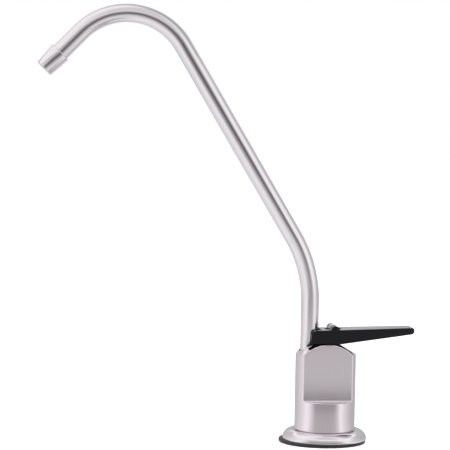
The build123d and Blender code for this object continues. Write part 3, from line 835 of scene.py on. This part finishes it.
# Near screen, which the body reflects: its low part, its dark line and its top part
screen_tones = [
    (-180, 0.50), (-134, 0.60), (-107, 0.74), (-92, 0.84), (-78, 1.0), (-68, 0.94), (-58, 0.76),
    (-48, 0.57), (-40, 0.48), (-2, 0.47), (12, 0.47), (24, 0.50), (34, 0.60), (42, 0.80),
    (50, 1.0), (58, 0.86), (70, 0.73), (88, 0.60), (108, 0.50), (180, 0.50),
]
line_tones = [
    (-180, 0.50), (-134, 0.60), (-92, 0.84), (-78, 1.0), (-58, 0.70), (-48, 0.20), (-40, 0.03),
    (24, 0.03), (32, 0.20), (42, 0.75), (50, 1.0), (70, 0.73), (108, 0.50), (180, 0.50),
]
screen_top_tones = [
    (-180, 0.50), (-134, 0.60), (-92, 0.84), (-78, 1.0), (-58, 0.76), (-44, 0.56), (-2, 0.56),
    (14, 0.55), (26, 0.57), (42, 0.80), (50, 1.0), (70, 0.73), (108, 0.50), (180, 0.50),
]
# Mat round the screen, and the far wall with its low, high and upper parts
mat_tones = [
    (-180, 0.70), (-110, 0.78), (-60, 0.92), (-42, 0.88), (-25, 0.76), (20, 0.76), (50, 0.90),
    (90, 0.70), (180, 0.70),
]
far_tones = [
    (-180, 0.50), (-134, 0.60), (-93, 0.78), (-77, 0.88), (-62, 1.0), (-48, 0.93), (-36, 0.62),
    (-24, 0.35), (14, 0.35), (28, 0.52), (42, 0.84), (56, 1.0), (72, 0.74), (92, 0.55),
    (180, 0.50),
]
high_tones = [
    (-180, 0.95), (-172, 0.60), (-134, 0.60), (-93, 0.78), (-70, 1.0), (-48, 0.90), (-34, 0.40),
    (-22, 0.09), (12, 0.09), (26, 0.26), (36, 0.85), (44, 1.0), (70, 1.0), (84, 0.72),
    (92, 0.62), (108, 0.54), (160, 0.50), (168, 0.95), (180, 0.95),
]
upper_tones = [
    (-180, 0.90), (-160, 0.60), (-134, 0.62), (-93, 0.95), (-75, 0.95), (-50, 0.60),
    (-20, 0.75), (20, 0.75), (50, 1.0), (70, 0.97), (92, 0.64), (108, 0.56), (160, 0.60),
    (180, 0.90),
]
# Sheet over the tap
ceiling_tones = [
    (-180, 0.55), (-150, 0.55), (-118, 0.95), (-85, 1.0), (-60, 0.90), (-40, 0.75), (-25, 0.70),
    (22, 0.70), (36, 0.75), (50, 0.90), (64, 0.80), (85, 0.45), (130, 0.45), (180, 0.55),
]

# Places of the paper, and the heights and reaches at which its tones change
screen_radius = 0.12
screen_top_z = 0.042
line_low_z = 0.0035
line_z = 0.0065
line_high_z = 0.0130
near_mat_z = 0.0008
far_mat_z = 0.0004
near_reach = 0.30
far_reach = 0.70
surround_radius = 1.0
dark_z = 0.15
upper_wall_z = 0.19
upper_change_z = 0.70
surround_top_z = 0.75
ceiling_radius = 0.50
ceiling_z = 0.50


def paper_tones(nodes, links, share, tones):
    """A ramp of grey tones by direction, from the direction's share of a full turn."""
    ramp = nodes.new("ShaderNodeValToRGB")
    links.new(share, ramp.inputs["Fac"])
    stops = ramp.color_ramp.elements
    while len(stops) < len(tones):
        stops.new(0.5)
    for stop, (direction, tone) in zip(stops, tones):
        stop.position = (direction + 180) / 360
        stop.color = (tone, tone, tone, 1)
    return ramp.outputs["Color"]


def studio_paper(name, tones, later_tones, measure, start, end):
    """Grey paper with tones by direction, which change to others with height or reach."""
    paper = bpy.data.materials.new(name)
    paper.use_nodes = True
    nodes, links = paper.node_tree.nodes, paper.node_tree.links
    nodes.remove(nodes["Principled BSDF"])
    place = nodes.new("ShaderNodeTexCoord")
    split = nodes.new("ShaderNodeSeparateXYZ")
    links.new(place.outputs["Object"], split.inputs[0])
    forward = nodes.new("ShaderNodeMath")
    forward.operation = "MULTIPLY"
    forward.inputs[1].default_value = -1
    links.new(split.outputs["Y"], forward.inputs[0])
    turn = nodes.new("ShaderNodeMath")
    turn.operation = "ARCTAN2"
    links.new(split.outputs["X"], turn.inputs[0])
    links.new(forward.outputs[0], turn.inputs[1])
    share = nodes.new("ShaderNodeMapRange")
    share.inputs["From Min"].default_value = -pi
    share.inputs["From Max"].default_value = pi
    links.new(turn.outputs[0], share.inputs["Value"])
    change = nodes.new("ShaderNodeMapRange")
    change.inputs["From Min"].default_value = start
    change.inputs["From Max"].default_value = end
    if measure == "height":
        links.new(split.outputs["Z"], change.inputs["Value"])
    else:
        reach = nodes.new("ShaderNodeVectorMath")
        reach.operation = "LENGTH"
        links.new(place.outputs["Object"], reach.inputs[0])
        links.new(reach.outputs["Value"], change.inputs["Value"])
    first, later, result = color_mix(nodes, links, change.outputs["Result"])
    links.new(paper_tones(nodes, links, share.outputs["Result"], tones), first)
    links.new(paper_tones(nodes, links, share.outputs["Result"], later_tones), later)
    glow = nodes.new("ShaderNodeEmission")
    links.new(result, glow.inputs["Color"])
    links.new(glow.outputs[0], nodes["Material Output"].inputs["Surface"])
    return paper


def hang_paper(sheet, paper):
    """Puts paper on a sheet and leaves it to be seen in reflections alone."""
    dress(sheet, paper)
    sheet.visible_camera = False
    sheet.visible_diffuse = False
    sheet.visible_transmission = False
    sheet.visible_volume_scatter = False
    sheet.visible_shadow = False


def make_surround():
    """Mats on the deck, a low screen and a far wall round the tap, and a sheet over it."""
    mat = studio_paper("mat_paper", mat_tones, far_tones, "reach", near_reach, far_reach)
    ceiling = studio_paper("ceiling_paper", ceiling_tones, ceiling_tones, "height", 0, ceiling_z)
    low_screen = studio_paper(
        "low_screen_paper", screen_tones, line_tones, "height", line_low_z, line_z
    )
    screen = studio_paper("screen_paper", line_tones, screen_top_tones, "height", line_z, line_high_z)
    for name, radius, height, paper in (
        ("near_mat", screen_radius, near_mat_z, low_screen),
        ("surround_mat", surround_radius, far_mat_z, mat),
        ("ceiling_sheet", ceiling_radius, ceiling_z, ceiling),
    ):
        deselect_all()
        bpy.ops.mesh.primitive_circle_add(
            vertices=ring_sides, radius=radius, fill_type="NGON", location=(0, 0, height)
        )
        hang_paper(started(name), paper)
    wall = studio_paper("wall_paper", far_tones, high_tones, "height", 0, dark_z)
    upper = studio_paper(
        "upper_paper", high_tones, upper_tones, "height", upper_wall_z, upper_change_z
    )
    for name, radius, low_z, top_z, paper in (
        ("low_screen", screen_radius, 0, line_z, low_screen),
        ("screen", screen_radius, line_z, screen_top_z, screen),
        ("surround_wall", surround_radius, 0, upper_wall_z, wall),
        ("upper_wall", surround_radius, upper_wall_z, surround_top_z, upper),
    ):
        deselect_all()
        bpy.ops.mesh.primitive_cylinder_add(
            vertices=ring_sides,
            radius=radius,
            depth=top_z - low_z,
            end_fill_type="NOTHING",
            location=(0, 0, (low_z + top_z) / 2),
        )
        hang_paper(started(name), paper)


# Lamps: each one's name, place, power in watts and size, and the point they all face
lamps = (
    ("front_left_lamp", (-0.9, -0.9, 0.9), 8.0, 0.7),
    ("right_lamp", (1.1, -0.4, 0.7), 5.0, 0.6),
    ("top_lamp", (0, 0.1, 1.3), 6.0, 0.9),
)
lamp_aim = Vector((-0.05, 0, 0.09))


def make_lamps():
    """Large soft lamps: front left, right and above."""
    for name, place, power, size in lamps:
        lamp = bpy.data.lights.new(name, "AREA")
        lamp.energy = power
        lamp.size = size
        holder = bpy.data.objects.new(name, lamp)
        holder.location = place
        holder.rotation_euler = (lamp_aim - holder.location).to_track_quat("-Z", "Y").to_euler()
        holder.visible_glossy = False
        bpy.context.scene.collection.objects.link(holder)


def make_camera():
    """The photograph's viewpoint: a long lens, turned, pitched and rolled a little."""
    turn, pitch, roll = radians(camera_azimuth), radians(camera_pitch), radians(camera_roll)
    forward = Vector((-sin(turn) * cos(pitch), cos(turn) * cos(pitch), -sin(pitch)))
    level = Vector((cos(turn), sin(turn), 0))
    raised = level.cross(forward)
    right = cos(roll) * level + sin(roll) * raised
    up = cos(roll) * raised - sin(roll) * level
    lens = bpy.data.cameras.new("photo_camera")
    lens.lens = camera_lens
    lens.sensor_width = camera_sensor
    lens.clip_start = camera_near
    camera = bpy.data.objects.new("photo_camera", lens)
    turned_axes = Matrix((right, up, -forward)).transposed().to_4x4()
    camera.matrix_world = Matrix.Translation(Vector(camera_place)) @ turned_axes
    bpy.context.scene.collection.objects.link(camera)
    bpy.context.scene.camera = camera


make_camera()
make_world()
make_floor()
make_surround()
make_lamps()
make_spout_tube()
make_collar()
make_body()
make_escutcheon()
make_deck_gasket()
make_lever()
dress_carried_nodes()
bpy.context.scene.view_settings.view_transform = "Standard"
deselect_all()
